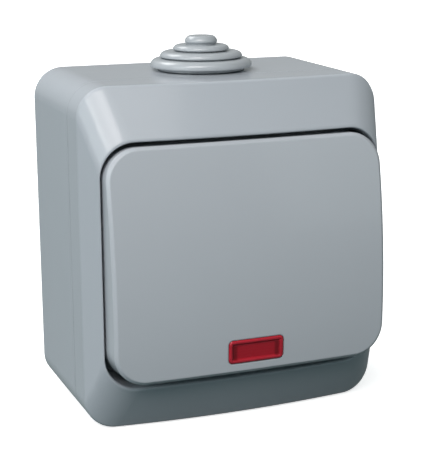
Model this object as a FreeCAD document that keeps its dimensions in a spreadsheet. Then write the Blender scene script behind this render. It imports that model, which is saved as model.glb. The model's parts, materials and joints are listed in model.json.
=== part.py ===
"""Outdoor weatherproof rocker switch: two-part housing, cable gland, rocker and switching mechanism.

Millimetres. X runs to the right, Z runs up, the wall is the plane Y = 0 and the front faces -Y.
Depths are distances in front of the wall, so a depth d lies at Y = -d.
"""
import FreeCAD, Part
import math
import os
import Sketcher
from FreeCAD import Placement, Rotation, Vector

DIMENSIONS = {
    # Housing: outside form and the seam between its two shells
    "shell_width": 72.0,
    "shell_height": 78.2,
    "shell_corner": 7.0,
    "shell_draft": 0.3,
    "shell_wall": 2.4,
    "back_thickness": 3.0,
    "seam_depth": 29.0,
    "seam_gap": 0.04,
    "edge_depth": 39.5,
    "edge_bow": 2.75,
    "edge_round": 0.4,
    # Recess for the rocker
    "opening_width": 66.3,
    "opening_height": 55.4,
    "opening_corner": 7.8,
    "rim_depth": 46.25,
    "rim_bow": 1.85,
    "rim_round": 0.8,
    "recess_draft": 0.2,
    "floor_depth": 34.2,
    "floor_thickness": 2.2,
    "window_width": 39.4,
    "window_height": 50.4,
    "window_corner": 4.0,
    "bezel_pocket_width": 56.0,
    "bezel_pocket_low_depth": 40.2,
    "bezel_pocket_high_depth": 37.1,
    # Lip of the front shell, and the gaskets
    "lip_length": 1.7,
    "lip_wall": 1.6,
    "lip_gap": 0.2,
    "rebate_width": 1.1,
    "rebate_depth": 0.8,
    "gasket_play": 0.05,
    "window_gasket_margin": 3.0,
    "window_gasket_inset": 0.4,
    # Fixings
    "fixing_spacing_x": 50.0,
    "fixing_spacing_z": 56.0,
    "fixing_hole_radius": 2.25,
    "post_x": 27.5,
    "post_width": 7.0,
    "frame_screw_z": 14.5,
    "screw_radius": 1.35,
    "screw_play": 0.1,
    "screw_slot": 0.9,
    "screw_head_height": 1.9,
    "screw_bite": 14.0,
    "cover_hole_radius": 1.8,
    "cover_head_radius": 2.9,
    "frame_head_radius": 2.7,
    "access_way": 5.0,
    "seal_radius": 3.2,
    "seal_thickness": 0.8,
    # Cable gland
    "gland_depth": 17.4,
    "gland_seat": 39.2,
    "gland_lift": 0.2,
    "gland_hole_radius": 8.6,
    "gland_tier_1_radius": 11.98,
    "gland_tier_2_radius": 9.72,
    "gland_tier_3_radius": 6.62,
    "gland_tier_4_radius": 3.85,
    "gland_tier_1_height": 1.35,
    "gland_tier_2_height": 3.3,
    "gland_tier_3_height": 4.96,
    "gland_tier_4_height": 6.94,
    "gland_undercut": 0.45,
    "gland_groove": 0.35,
    "gland_slope": 1.4,
    "gland_bevel_width": 0.95,
    "gland_bevel_height": 1.1,
    "gland_wall": 1.1,
    "gland_play": 0.1,
    "gland_flange_reach": 1.2,
    "gland_flange_height": 1.5,
    # Support frame
    "frame_depth": 27.0,
    "frame_thickness": 3.4,
    "frame_width": 46.0,
    "frame_height": 57.0,
    "frame_ear_thickness": 2.0,
    "frame_ear_height": 8.0,
    "frame_opening_width": 12.0,
    "frame_opening_height": 13.0,
    "cheek_inner_x": 15.0,
    "cheek_thickness": 3.0,
    "cheek_half_height": 5.5,
    "cheek_round": 2.6,
    # Contact housing and terminals
    "housing_width": 44.0,
    "housing_height": 45.0,
    "housing_back_depth": 10.0,
    "chamber_half_width": 5.0,
    "chamber_half_height": 16.0,
    "chamber_floor_depth": 14.0,
    "terminal_x": 13.5,
    "terminal_z": 9.5,
    "terminal_size": 8.0,
    "terminal_play": 0.4,
    "terminal_front_depth": 24.5,
    "strip_depth": 16.6,
    "strip_thickness": 1.2,
    "strip_width": 4.4,
    "strip_play": 0.25,
    "wire_depth": 18.6,
    "wire_way": 3.6,
    "saddle_height": 1.6,
    "contact_z": 9.5,
    "contact_size": 2.8,
    "fixed_contact_height": 1.45,
    # Indicator lamp
    "lamp_z": -19.0,
    "lamp_radius": 2.7,
    "lamp_front_depth": 42.3,
    "lamp_nose": 1.3,
    "lamp_play": 0.15,
    "socket_width": 9.0,
    "socket_height": 8.4,
    "socket_depth": 3.6,
    "socket_floor": 1.2,
    "lead_x": 2.0,
    "lead_size": 0.7,
    "lead_back_depth": 24.0,
    # Rocker and lens
    "pivot_depth": 38.0,
    "pivot_radius": 1.8,
    "pivot_gap": 0.3,
    "rest_tilt": 4.85,
    "rocker_width": 65.2,
    "rocker_height": 52.2,
    "rocker_corner": 7.4,
    "rocker_crown_depth": 50.9,
    "rocker_crown_radius": 166.0,
    "rocker_sweep_radius": 500.0,
    "rocker_wall": 2.0,
    "rocker_edge_bevel": 0.7,
    "rib_x": 10.0,
    "rib_thickness": 1.8,
    "rib_length": 16.0,
    "rib_play": 0.05,
    "hook_z": 11.2,
    "hook_width": 8.0,
    "hook_thickness": 1.5,
    "hook_catch": 0.9,
    "lens_width": 13.2,
    "lens_height": 5.4,
    "lens_corner": 1.0,
    "lens_z": -20.9,
    "lens_proud": 0.25,
    "lens_rim": 1.0,
    "lens_tub_depth": 0.45,
    "lens_bevel": 0.3,
    "lens_body": 6.0,
    "lens_hollow_depth": 2.4,
    "lens_flange": 1.0,
    "lens_flange_reach": 1.2,
    "lens_play": 0.1,
    # Yoke and plunger
    "yoke_half_height": 3.6,
    "yoke_back": 3.0,
    "yoke_play": 0.5,
    "clip_depth": 43.0,
    "clip_thickness": 2.0,
    "clip_height": 20.4,
    "clip_play": 0.3,
    "barrel_width": 8.0,
    "barrel_back_depth": 26.8,
    "plunger_radius": 2.3,
    "plunger_play": 0.3,
    "plunger_reach": 15.05,
    "plunger_length": 9.0,
    "plunger_nose": 2.4,
    "plunger_tip": 0.7,
    "spring_wire": 0.5,
    "spring_clearance": 2.0,
    "spring_play": 0.05,
    "spring_turns": 4,
    "spring_steps": 10,
    # Moving contact blade
    "blade_depth": 22.0,
    "blade_thickness": 1.2,
    "blade_half_length": 11.2,
    "blade_half_width": 2.4,
    "blade_swing": 6.0,
    "blade_clearance": 0.25,
    "tip_height": 0.8,
}

# How far a cut runs past the face that it opens, and how far a joined feature runs into its neighbour
PAST = 1.0
INTO = 0.5
# Room in front of a crowned face, for the cut that shapes it
CROWN_ROOM = 4.0
# Places nearer to each other than this are one place, and nearer than this lie on one face
SAME = 1e-6
ON_FACE = 0.02

doc = FreeCAD.newDocument("weatherproof_switch")
sheet = doc.addObject("Spreadsheet::Sheet", "dims")
for row, (alias, number) in enumerate(DIMENSIONS.items(), start=1):
    sheet.set(f"A{row}", alias)
    sheet.set(f"B{row}", str(number))
    sheet.setAlias(f"B{row}", alias)
doc.recompute()


class Size:
    """A length held both as a sheet expression and as its present value."""

    def __init__(self, text, value):
        self.text = text
        self.value = value

    def __add__(self, other):
        other = as_size(other)
        return Size(f"({self.text} + {other.text})", self.value + other.value)

    def __sub__(self, other):
        other = as_size(other)
        return Size(f"({self.text} - {other.text})", self.value - other.value)

    def __rsub__(self, other):
        return as_size(other) - self

    def __mul__(self, other):
        other = as_size(other)
        return Size(f"({self.text} * {other.text})", self.value * other.value)

    def __truediv__(self, other):
        other = as_size(other)
        return Size(f"({self.text} / {other.text})", self.value / other.value)

    def __neg__(self):
        return Size(f"(0 - {self.text})", -self.value)

    __radd__ = __add__
    __rmul__ = __mul__


def as_size(length):
    """Turn a plain number into a Size and leave a Size as it is."""
    if isinstance(length, Size):
        return length
    return Size(f"({length})", float(length))


class Cells:
    """The sheet's cells as attributes, each giving a Size."""

    def __getattr__(self, alias):
        return Size(f"dims.{alias}", float(sheet.get(alias)))


d = Cells()


class Plate:
    """A rectangle to be drawn in a sketch, with round corners where a radius is given."""

    def __init__(self, width, height, corner=0.0, x=0.0, z=0.0):
        self.width = as_size(width)
        self.height = as_size(height)
        self.corner = as_size(corner)
        self.x = as_size(x)
        self.z = as_size(z)

    def grown(self, margin):
        """The same rectangle with every side moved out by a margin."""
        wider = self.width + 2 * margin
        higher = self.height + 2 * margin
        return Plate(wider, higher, self.corner + margin, self.x, self.z)

    def draw(self, drawing):
        """Draw it about its centre."""
        right, left = self.x + self.width / 2, self.x - self.width / 2
        top, bottom = self.z + self.height / 2, self.z - self.height / 2
        if self.corner.value == 0.0:
            drawing.polygon([(left, bottom), (right, bottom), (right, top), (left, top)])
        else:
            drawing.round_plate(left, right, bottom, top, self.corner)


class Disc:
    """A circle to be drawn in a sketch."""

    def __init__(self, radius, x=0.0, z=0.0):
        self.radius, self.x, self.z = as_size(radius), as_size(x), as_size(z)

    def draw(self, drawing):
        """Draw it about its centre."""
        drawing.circle(self.radius, self.x, self.z)


class Outline:
    """A closed polygon to be drawn in a sketch."""

    def __init__(self, points):
        self.points = points

    def draw(self, drawing):
        """Draw it through its points."""
        drawing.polygon(self.points)


class Drawing:
    """A sketch on one of a body's origin planes, with every size bound to the sheet."""

    def __init__(self, body, name, plane, offset, shift):
        self.sketch = body.newObject("Sketcher::SketchObject", name)
        support = next(f for f in body.Origin.OriginFeatures if f.Role == plane)
        self.sketch.AttachmentSupport = [(support, "")]
        self.sketch.MapMode = "FlatFace"
        self.sketch.setExpression("AttachmentOffset.Base.x", as_size(shift).text)
        self.sketch.setExpression("AttachmentOffset.Base.z", as_size(offset).text)
        self.count = 0

    def tie(self, kind, *references):
        """Add a constraint that has no size."""
        self.sketch.addConstraint(Sketcher.Constraint(kind, *references))

    def bind(self, kind, references, length):
        """Add a dimension and tie it to its expression."""
        length = as_size(length)
        self.count += 1
        index = self.sketch.addConstraint(Sketcher.Constraint(kind, *references, length.value))
        name = f"size_{self.count}"
        self.sketch.renameConstraint(index, name)
        self.sketch.setExpression(f"Constraints.{name}", length.text)

    def pin(self, geometry, point, u, v):
        """Hold a point of a geometry at a place measured from the sketch origin."""
        for kind, axis, length in (("DistanceX", -2, as_size(u)), ("DistanceY", -1, as_size(v))):
            if abs(length.value) < SAME:
                self.tie("PointOnObject", geometry, point, axis)
            else:
                self.bind(kind, (-1, 1, geometry, point), length)

    def line(self, start, end, construction=False):
        """Draw a line between two points of plain numbers."""
        return self.sketch.addGeometry(Part.LineSegment(Vector(*start, 0), Vector(*end, 0)), construction)

    def arc(self, centre, radius, start_angle, end_angle):
        """Draw an arc about a point of plain numbers, counterclockwise between two angles."""
        circle = Part.Circle(Vector(*centre, 0), Vector(0, 0, 1), radius)
        return self.sketch.addGeometry(Part.ArcOfCircle(circle, start_angle, end_angle))

    def circle(self, radius, u, v):
        """Draw a circle."""
        centre = Vector(u.value, v.value, 0)
        drawn = self.sketch.addGeometry(Part.Circle(centre, Vector(0, 0, 1), radius.value))
        self.bind("Radius", (drawn,), radius)
        self.pin(drawn, 3, u, v)

    def polygon(self, points):
        """Draw a closed outline through points given as pairs of lengths."""
        points = [(as_size(u), as_size(v)) for u, v in points]
        places = [(u.value, v.value) for u, v in points]
        lines = [self.line(start, end) for start, end in zip(places, places[1:] + places[:1])]
        for line, following in zip(lines, lines[1:] + lines[:1]):
            self.tie("Coincident", line, 2, following, 1)
        for line, (u, v) in zip(lines, points):
            self.pin(line, 1, u, v)

    def round_plate(self, left, right, bottom, top, corner):
        """Draw a rectangle with round corners."""
        x0, x1, y0, y1, r = left.value, right.value, bottom.value, top.value, corner.value
        ends = [((x0 + r, y0), (x1 - r, y0)), ((x1, y0 + r), (x1, y1 - r)),
                ((x1 - r, y1), (x0 + r, y1)), ((x0, y1 - r), (x0, y0 + r))]
        centres = [(x1 - r, y0 + r), (x1 - r, y1 - r), (x0 + r, y1 - r), (x0 + r, y0 + r)]
        quarter = math.pi / 2
        lines = [self.line(*pair) for pair in ends]
        arcs = [self.arc(centre, r, (side - 1) * quarter, side * quarter)
                for side, centre in enumerate(centres)]
        for side in range(4):
            self.tie("Tangent", lines[side], 2, arcs[side], 1)
            self.tie("Tangent", arcs[side], 2, lines[(side + 1) % 4], 1)
        for side, kind in enumerate(("Horizontal", "Vertical", "Horizontal", "Vertical")):
            self.tie(kind, lines[side])
        for arc in arcs[1:]:
            self.tie("Equal", arcs[0], arc)
        self.bind("Radius", (arcs[0],), corner)
        self.bind("DistanceY", (-1, 1, lines[0], 1), bottom)
        self.bind("DistanceX", (-1, 1, lines[1], 1), right)
        self.bind("DistanceY", (-1, 1, lines[2], 1), top)
        self.bind("DistanceX", (-1, 1, lines[3], 1), left)


class Piece:
    """One physical piece, grown feature by feature in its own body."""

    def __init__(self, label, form=None):
        self.body = doc.addObject("PartDesign::Body", label)
        self.body.Label = label
        self.body.AllowCompound = True
        self.features = 0
        if form is not None:
            self.body.BaseFeature = form

    def drawing(self, shapes, plane="XZ_Plane", offset=0.0, shift=0.0):
        """Draw shapes on an origin plane, moved along the plane's normal by an offset."""
        self.features += 1
        name = f"{self.body.Name}_sketch_{self.features}"
        drawing = Drawing(self.body, name, plane, offset, shift)
        for shape in shapes:
            shape.draw(drawing)
        return drawing

    def feature(self, kind, drawing):
        """Add a feature made from a drawing."""
        made = self.body.newObject(f"PartDesign::{kind}", f"{self.body.Name}_{kind.lower()}_{self.features}")
        made.Profile = drawing.sketch
        self.body.Tip = made
        return made

    def add(self, start, end, *shapes, draft=None):
        """Pad shapes drawn on the wall plane from one depth to another, with a draft angle if given."""
        pad = self.feature("Pad", self.drawing(shapes, offset=start))
        pad.setExpression("Length", (as_size(end) - start).text)
        if draft is not None:
            pad.setExpression("TaperAngle", draft)
        return self

    def cut(self, start, end, *shapes):
        """Cut shapes drawn on the wall plane away between two depths."""
        pocket = self.feature("Pocket", self.drawing(shapes, offset=end))
        pocket.setExpression("Length", (as_size(end) - start).text)
        return self

    def drill_down(self, top, bottom, *shapes):
        """Cut shapes drawn on the level plane away between two heights."""
        pocket = self.feature("Pocket", self.drawing(shapes, plane="XY_Plane", offset=top))
        pocket.setExpression("Length", (as_size(top) - bottom).text)
        return self

    def cut_across(self, length, *shapes):
        """Cut shapes drawn on the middle plane away to both sides."""
        pocket = self.feature("Pocket", self.drawing(shapes, plane="YZ_Plane"))
        pocket.setExpression("Length", as_size(length).text)
        pocket.SideType = "Symmetric"
        return self

    def add_across(self, length, *shapes):
        """Pad shapes drawn on the middle plane to both sides."""
        pad = self.feature("Pad", self.drawing(shapes, plane="YZ_Plane"))
        pad.setExpression("Length", as_size(length).text)
        pad.SideType = "Symmetric"
        return self

    def turn(self, points, axis, shift=0.0):
        """Revolve a closed profile on the middle plane about one of its sketch axes."""
        drawing = self.drawing([Outline(points)], plane="YZ_Plane", shift=shift)
        turned = self.feature("Revolution", drawing)
        turned.ReferenceAxis = (drawing.sketch, [axis])
        turned.Angle = 360.0
        return self

    def crown_drawing(self, depth, radius, low, high, far):
        """Draw the strip between a crowned line and a straight one, on the middle plane."""
        low, high, far = as_size(low), as_size(high), as_size(far)
        drawing = self.drawing([], plane="YZ_Plane")
        middle = (radius - depth).value
        angles = [math.pi - math.asin(height.value / radius.value) for height in (high, low)]
        arc = drawing.arc((middle, 0), radius.value, *angles)
        ends = [(middle + radius.value * math.cos(angle), radius.value * math.sin(angle)) for angle in angles]
        corners = [ends[1], (-far.value, low.value), (-far.value, high.value), ends[0]]
        lines = [drawing.line(start, end) for start, end in zip(corners, corners[1:])]
        drawing.tie("Coincident", arc, 2, lines[0], 1)
        drawing.tie("Coincident", lines[0], 2, lines[1], 1)
        drawing.tie("Coincident", lines[1], 2, lines[2], 1)
        drawing.tie("Coincident", lines[2], 2, arc, 1)
        drawing.bind("Radius", (arc,), radius)
        drawing.pin(arc, 3, radius - depth, 0.0)
        drawing.pin(lines[1], 1, -far, low)
        drawing.pin(lines[1], 2, -far, high)
        drawing.tie("Horizontal", lines[0])
        drawing.tie("Horizontal", lines[2])
        return drawing

    def crown(self, crown, low, high, width):
        """Cut the front to a crowned face, between two heights and over a width."""
        depth, radius, sweep = crown
        drawing = self.crown_drawing(depth, radius, low, high, depth + CROWN_ROOM)
        turning = drawing.line(((sweep - depth).value, 0), ((sweep - depth).value, 1), construction=True)
        drawing.pin(turning, 1, sweep - depth, 0.0)
        drawing.pin(turning, 2, sweep - depth, 1.0)
        groove = self.feature("Groove", drawing)
        groove.ReferenceAxis = (drawing.sketch, ["Axis0"])
        groove.setExpression("Angle", f"2 * asin({as_size(width).text} / (2 * {sweep.text}))")
        groove.Midplane = True
        return self

    def hollow_behind_crown(self, back, depth, radius, half_height, width):
        """Cut a hollow between a back depth and a crowned face, to both sides of the middle."""
        pocket = self.feature("Pocket", self.crown_drawing(depth, radius, -half_height, half_height, back))
        pocket.setExpression("Length", as_size(width).text)
        pocket.SideType = "Symmetric"
        return self

    def round_edges(self, radius, chosen):
        """Round the edges that a test on their middle point picks."""
        return self.soften("Fillet", "Radius", radius, chosen)

    def bevel_edges(self, size, chosen):
        """Bevel the edges that a test on their middle point picks."""
        return self.soften("Chamfer", "Size", size, chosen)

    def soften(self, kind, size_name, size, chosen):
        """Dress the chosen edges with a fillet or chamfer."""
        doc.recompute()
        solid = self.body.Tip
        names = []
        for index, edge in enumerate(solid.Shape.Edges, start=1):
            middle = edge.valueAt((edge.FirstParameter + edge.LastParameter) / 2)
            if chosen(middle, edge):
                names.append(f"Edge{index}")
        self.features += 1
        name = f"{self.body.Name}_{kind.lower()}_{self.features}"
        dressed = self.body.newObject(f"PartDesign::{kind}", name)
        dressed.Base = (solid, names)
        dressed.setExpression(size_name, as_size(size).text)
        self.body.Tip = dressed
        return self


def discs(radius, places):
    """Equal circles at several places."""
    return [Disc(radius, x, z) for x, z in places]


def plates(width, height, places, corner=0.0):
    """Equal rectangles at several places."""
    return [Plate(width, height, corner, x, z) for x, z in places]


# Outside form of the front cover
class Section:
    """A round-cornered rectangle whose sides bow back from its middle."""

    def __init__(self, width, height, corner, depth, bow):
        self.sizes = (width, height, corner, depth, bow)

    def toward(self, other, share):
        """The section a share of the way to another one."""
        mixed = [a + (b - a) * share for a, b in zip(self.sizes, other.sizes)]
        return Section(*mixed)

    def round_to(self, corner_section, other, share):
        """A section of the soft curve that leaves this section and enters the other."""
        near = self.toward(corner_section, share)
        far = corner_section.toward(other, share)
        return near.toward(far, share)

    def wire(self):
        """The section's closed outline."""
        width, height, corner, depth, bow = self.sizes
        half_w, half_h = width / 2, height / 2
        flat_w, flat_h = half_w - corner, half_h - corner

        def place(x, z):
            return Vector(x, bow * (x / half_w) ** 2 - depth, z)

        def side(x0, z0, x1, z1):
            start, end = place(x0, z0), place(x1, z1)
            middle = place((x0 + x1) / 2, (z0 + z1) / 2)
            if abs(x0 - x1) < SAME or bow == 0.0:
                return Part.LineSegment(start, end).toShape()
            return Part.Arc(start, middle, end).toShape()

        def bend(centre_x, centre_z, start_angle):
            turns = [start_angle - step * math.pi / 4 for step in range(3)]
            points = [place(centre_x + corner * math.cos(t), centre_z + corner * math.sin(t)) for t in turns]
            return Part.Arc(*points).toShape()

        return Part.Wire([
            side(-half_w, -flat_h, -half_w, flat_h), bend(-flat_w, flat_h, math.pi),
            side(-flat_w, half_h, flat_w, half_h), bend(flat_w, flat_h, math.pi / 2),
            side(half_w, flat_h, half_w, -flat_h), bend(flat_w, -flat_h, 0.0),
            side(flat_w, -half_h, -flat_w, -half_h), bend(-flat_w, -flat_h, -math.pi / 2),
        ])


def flattened(face):
    """The same face on a true plane if it is flat, facing the same way."""
    if face.findPlane() is None:
        return face
    flat = Part.Face(face.OuterWire)
    if flat.normalAt(0, 0).dot(face.normalAt(0, 0)) < 0:
        flat.reverse()
    return flat


def shell_form():
    """The cover's skin: drafted walls, bowed sloping bezel, soft rim and the rocker's recess."""
    v = {alias: float(sheet.get(alias)) for alias in DIMENSIONS}
    grown = 2 * v["shell_draft"]
    back = Section(v["shell_width"] + grown, v["shell_height"] + grown,
                   v["shell_corner"] + v["shell_draft"], 0.0, 0.0)
    edge = Section(v["shell_width"], v["shell_height"], v["shell_corner"], v["edge_depth"], v["edge_bow"])
    rim = Section(v["opening_width"], v["opening_height"], v["opening_corner"], v["rim_depth"], v["rim_bow"])
    shrunk = 2 * v["recess_draft"]
    recess = Section(v["opening_width"] - shrunk, v["opening_height"] - shrunk,
                     v["opening_corner"] - v["recess_draft"], v["floor_depth"], 0.0)
    slope = math.hypot((v["shell_height"] - v["opening_height"]) / 2, v["rim_depth"] - v["edge_depth"])
    recess_height = v["rim_depth"] - v["floor_depth"]
    wall_end = edge.toward(back, v["edge_round"] / v["edge_depth"])
    bezel_start = edge.toward(rim, v["edge_round"] / slope)
    bezel_end = rim.toward(edge, v["rim_round"] / slope)
    recess_start = rim.toward(recess, v["rim_round"] / recess_height)
    sections = [back]
    sections += [wall_end.round_to(edge, bezel_start, share) for share in (0.0, 1.0)]
    sections.append(bezel_start.toward(bezel_end, 0.5))
    sections += [bezel_end.round_to(rim, recess_start, share) for share in (0.0, 0.5, 1.0)]
    sections.append(recess)
    skin = Part.makeLoft([section.wire() for section in sections], True, True)
    return Part.Solid(Part.Shell([flattened(face) for face in skin.Faces]))


form = doc.addObject("Part::Feature", "shell_form")
form.Shape = shell_form()

blank = Plate(d.shell_width, d.shell_height).grown(d.shell_wall)
cavity = Plate(d.shell_width, d.shell_height, d.shell_corner).grown(-d.shell_wall)
lip_outside = cavity.grown(-d.lip_gap)
lip_inside = lip_outside.grown(-d.lip_wall)
window = Plate(d.window_width, d.window_height, d.window_corner)
seam_back = d.seam_depth - d.seam_gap / 2
seam_front = d.seam_depth + d.seam_gap / 2
floor_back = d.floor_depth - d.floor_thickness
cover_screw_places = [(d.post_x, 0.0), (-d.post_x, 0.0)]
frame_screw_places = [(d.post_x, d.frame_screw_z), (-d.post_x, -d.frame_screw_z)]
screw_bore = d.screw_radius + d.screw_play

# Front cover: bezel, recess and the lip that enters the rear box
pocket_low = d.opening_height / 2 + d.shell_wall
pocket_high = lip_inside.height / 2
pocket_back = floor_back - INTO


def bezel_pocket(side):
    """The hollow behind the sloping bezel, above the recess or below it."""
    return Outline([
        (-pocket_back, side * pocket_low), (-d.bezel_pocket_low_depth, side * pocket_low),
        (-d.bezel_pocket_high_depth, side * pocket_high), (-pocket_back, side * pocket_high),
    ])


cover = Piece("front_cover", form)
cover.cut(-PAST, seam_front, blank)
cover.cut(seam_front - PAST, floor_back, lip_inside)
cover.cut_across(d.bezel_pocket_width, bezel_pocket(1), bezel_pocket(-1))
cover.add(seam_front - d.lip_length, seam_front + INTO, lip_outside, lip_inside)
cover.cut(floor_back - PAST, d.floor_depth + PAST, window)
cover.cut(floor_back - PAST, d.floor_depth + PAST, *discs(d.cover_hole_radius, cover_screw_places))

# Rear box on the wall, with posts for the cover and for the mechanism
fixing_x = d.fixing_spacing_x / 2
fixing_z = d.fixing_spacing_z / 2
fixing_places = [(x, z) for x in (fixing_x, -fixing_x) for z in (fixing_z, -fixing_z)]
post_foot = d.back_thickness - INTO
above_box = d.gland_seat + d.gland_tier_4_height
seam_corner = d.shell_corner + d.shell_draft * (1 - d.seam_depth / d.edge_depth)


def runs_from_wall(point, edge):
    """True for the edges that run from the wall to the seam."""
    return abs(point.y + seam_back.value / 2) < SAME


box = Piece("rear_box")
box.add(0.0, seam_back, Plate(d.shell_width + 2 * d.shell_draft, d.shell_height + 2 * d.shell_draft),
        draft="-atan(dims.shell_draft / dims.edge_depth)")
box.round_edges(seam_corner, runs_from_wall)
box.cut(d.back_thickness, seam_back + PAST, cavity)
box.cut(seam_back - d.rebate_depth, seam_back + PAST, cavity.grown(d.rebate_width))
box.add(post_foot, floor_back, *plates(d.post_width, d.post_width, cover_screw_places))
box.add(post_foot, d.frame_depth, *plates(d.post_width, d.post_width, frame_screw_places))
box.cut(-PAST, d.back_thickness + PAST, *discs(d.fixing_hole_radius, fixing_places))
box.cut(floor_back - d.screw_bite - PAST, floor_back + PAST, *discs(screw_bore, cover_screw_places))
box.cut(d.frame_depth - d.screw_bite - PAST, d.frame_depth + PAST, *discs(screw_bore, frame_screw_places))
box.drill_down(above_box, cavity.height / 2 - PAST, Disc(d.gland_hole_radius, 0.0, -d.gland_depth))

# Gaskets: in the rebate of the seam, and round the window in the recess floor
Piece("seam_gasket").add(
    seam_back - d.rebate_depth, seam_front,
    cavity.grown(d.rebate_width - d.gasket_play), lip_outside.grown(d.gasket_play))
frame_front = d.frame_depth + d.frame_thickness
Piece("window_gasket").add(
    frame_front, floor_back, window.grown(d.window_gasket_inset),
    Plate(d.window_width + 2 * d.window_gasket_margin, d.window_height + 2 * d.window_gasket_margin))

# Cable gland: a hollow stepped grommet, closed at the top until a cable is passed through it
tiers = [(d.gland_tier_1_radius, d.gland_tier_1_height), (d.gland_tier_2_radius, d.gland_tier_2_height),
         (d.gland_tier_3_radius, d.gland_tier_3_height), (d.gland_tier_4_radius, d.gland_tier_4_height)]
wall_under = cavity.height / 2
neck = d.gland_hole_radius - d.gland_play
flange = d.gland_hole_radius + d.gland_flange_reach
base = d.gland_tier_1_radius - d.gland_undercut
base_under = d.gland_seat + d.gland_lift
profile = [
    (neck - d.gland_wall, wall_under - d.gland_flange_height), (flange, wall_under - d.gland_flange_height),
    (flange, wall_under), (neck, wall_under), (neck, base_under), (base, base_under),
    (base, d.gland_seat + d.gland_tier_1_height - d.gland_groove)]
top_radius, top_height = tiers[-1]
for (radius, height), (next_radius, next_height) in zip(tiers, tiers[1:]):
    shelf = d.gland_seat + next_height - d.gland_groove
    profile.append((radius, d.gland_seat + height))
    profile.append((radius - d.gland_slope, shelf))
    profile.append((next_radius - d.gland_undercut, shelf))
profile.append((top_radius, d.gland_seat + top_height))
gland_top = d.gland_seat + top_height + d.gland_bevel_height
profile.append((top_radius - d.gland_bevel_width, gland_top))
profile.append((0.0, gland_top))
hollow_top = d.gland_seat + d.gland_tier_2_height
profile.append((0.0, hollow_top))
profile.append((neck - d.gland_wall, hollow_top))
Piece("cable_gland").turn(profile, axis="V_Axis", shift=-d.gland_depth)

# Support frame with the bearing cheeks that carry the rocker
cheek_x = d.cheek_inner_x + d.cheek_thickness / 2
cheek_front = d.pivot_depth + d.pivot_radius + d.cheek_round
ear_front = d.frame_depth + d.frame_ear_thickness
ear_reach = d.post_x + d.frame_ear_height / 2
ear_x = ear_reach / 2
ear_slot_width = 2 * d.cover_hole_radius
ear_slot_length = ear_reach + PAST - d.post_x + d.cover_hole_radius
ear_slot_x = d.post_x - d.cover_hole_radius + ear_slot_length / 2
terminal_places = [(-d.terminal_x, 0.0), (d.terminal_x, d.terminal_z), (d.terminal_x, -d.terminal_z)]
lead_places = [(d.lead_x, d.lamp_z), (-d.lead_x, d.lamp_z)]
lead_hole = d.lead_size + 2 * d.lamp_play


def on_cheek_corner(point, edge):
    """True for the front corners of the two cheeks."""
    at_front = abs(point.y + cheek_front.value) < SAME
    return at_front and abs(abs(point.z) - d.cheek_half_height.value) < SAME


frame = Piece("support_frame")
frame.add(d.frame_depth, frame_front, Plate(d.frame_width, d.frame_height))
frame.add(d.frame_depth, ear_front, Plate(ear_reach, d.frame_ear_height, 0.0, ear_x, d.frame_screw_z),
          Plate(ear_reach, d.frame_ear_height, 0.0, -ear_x, -d.frame_screw_z))
frame.add(frame_front - INTO, cheek_front,
          *plates(d.cheek_thickness, 2 * d.cheek_half_height, [(cheek_x, 0.0), (-cheek_x, 0.0)]))
frame.round_edges(d.cheek_round, on_cheek_corner)
frame.cut_across(2 * (d.cheek_inner_x + d.cheek_thickness + PAST),
                 Disc(d.pivot_radius + d.pivot_gap, -d.pivot_depth, 0.0))
frame.cut(d.frame_depth - PAST, frame_front + PAST, Plate(d.frame_opening_width, d.frame_opening_height),
          *plates(d.access_way, d.access_way, terminal_places),
          *plates(lead_hole, lead_hole, lead_places))
frame.cut(d.frame_depth - PAST, ear_front + PAST,
          Plate(ear_slot_length, ear_slot_width, 0.0, ear_slot_x, d.frame_screw_z),
          Plate(ear_slot_length, ear_slot_width, 0.0, -ear_slot_x, -d.frame_screw_z))

# Contact housing behind the frame
strip_front = d.strip_depth + d.strip_thickness
strip_slot = d.strip_width + 2 * d.strip_play
slot_length = d.terminal_x - d.chamber_half_width
slot_x = (d.terminal_x + d.chamber_half_width) / 2
slot_places = [(-slot_x, 0.0), (slot_x, d.terminal_z), (slot_x, -d.terminal_z)]
block_back = d.strip_depth - d.strip_thickness
recess_size = d.terminal_size + 2 * d.terminal_play
housing_top = d.housing_height / 2

housing = Piece("contact_housing")
housing.add(d.housing_back_depth, d.frame_depth, Plate(d.housing_width, d.housing_height))
housing.cut(d.chamber_floor_depth, d.frame_depth + PAST,
            Plate(2 * d.chamber_half_width, 2 * d.chamber_half_height))
housing.cut(block_back - d.screw_play, d.frame_depth + PAST,
            *plates(recess_size, recess_size, terminal_places))
housing.cut(d.strip_depth - d.strip_play, d.frame_depth + PAST, *plates(slot_length, strip_slot, slot_places))
housing.cut(d.lead_back_depth - PAST, d.frame_depth + PAST, *plates(lead_hole, lead_hole, lead_places))
upper_ways = plates(d.wire_way, d.wire_way, [(d.terminal_x, -d.wire_depth), (-d.terminal_x, -d.wire_depth)])
lower_way = Plate(d.wire_way, d.wire_way, 0.0, d.terminal_x, -d.wire_depth)
housing.drill_down(housing_top + PAST, 0.0, *upper_ways)
housing.drill_down(-d.terminal_z, -(housing_top + PAST), lower_way)


# Terminals: a brass cage for the wire and a strip that runs into the contact chamber
cage_way = d.wire_way - 2 * d.screw_play


def terminal(label, place, strip_end):
    """A terminal cage at a place, with its strip running to an end past the middle."""
    x, z = as_size(place[0]), as_size(place[1])
    block_top = z + d.terminal_size / 2
    piece = Piece(label)
    piece.add(block_back, d.terminal_front_depth, Plate(d.terminal_size, d.terminal_size, 0.0, x, z))
    length = d.terminal_x + strip_end
    inward = -1 if x.value > 0 else 1
    piece.add(d.strip_depth, strip_front, Plate(length, d.strip_width, 0.0, x + inward * (length / 2), z))
    piece.cut(d.wire_depth, d.terminal_front_depth + PAST, Disc(screw_bore, x, z))
    piece.drill_down(block_top + PAST, block_top - d.terminal_size - PAST,
                     Plate(cage_way, cage_way, 0.0, x, -d.wire_depth))
    return piece


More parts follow.
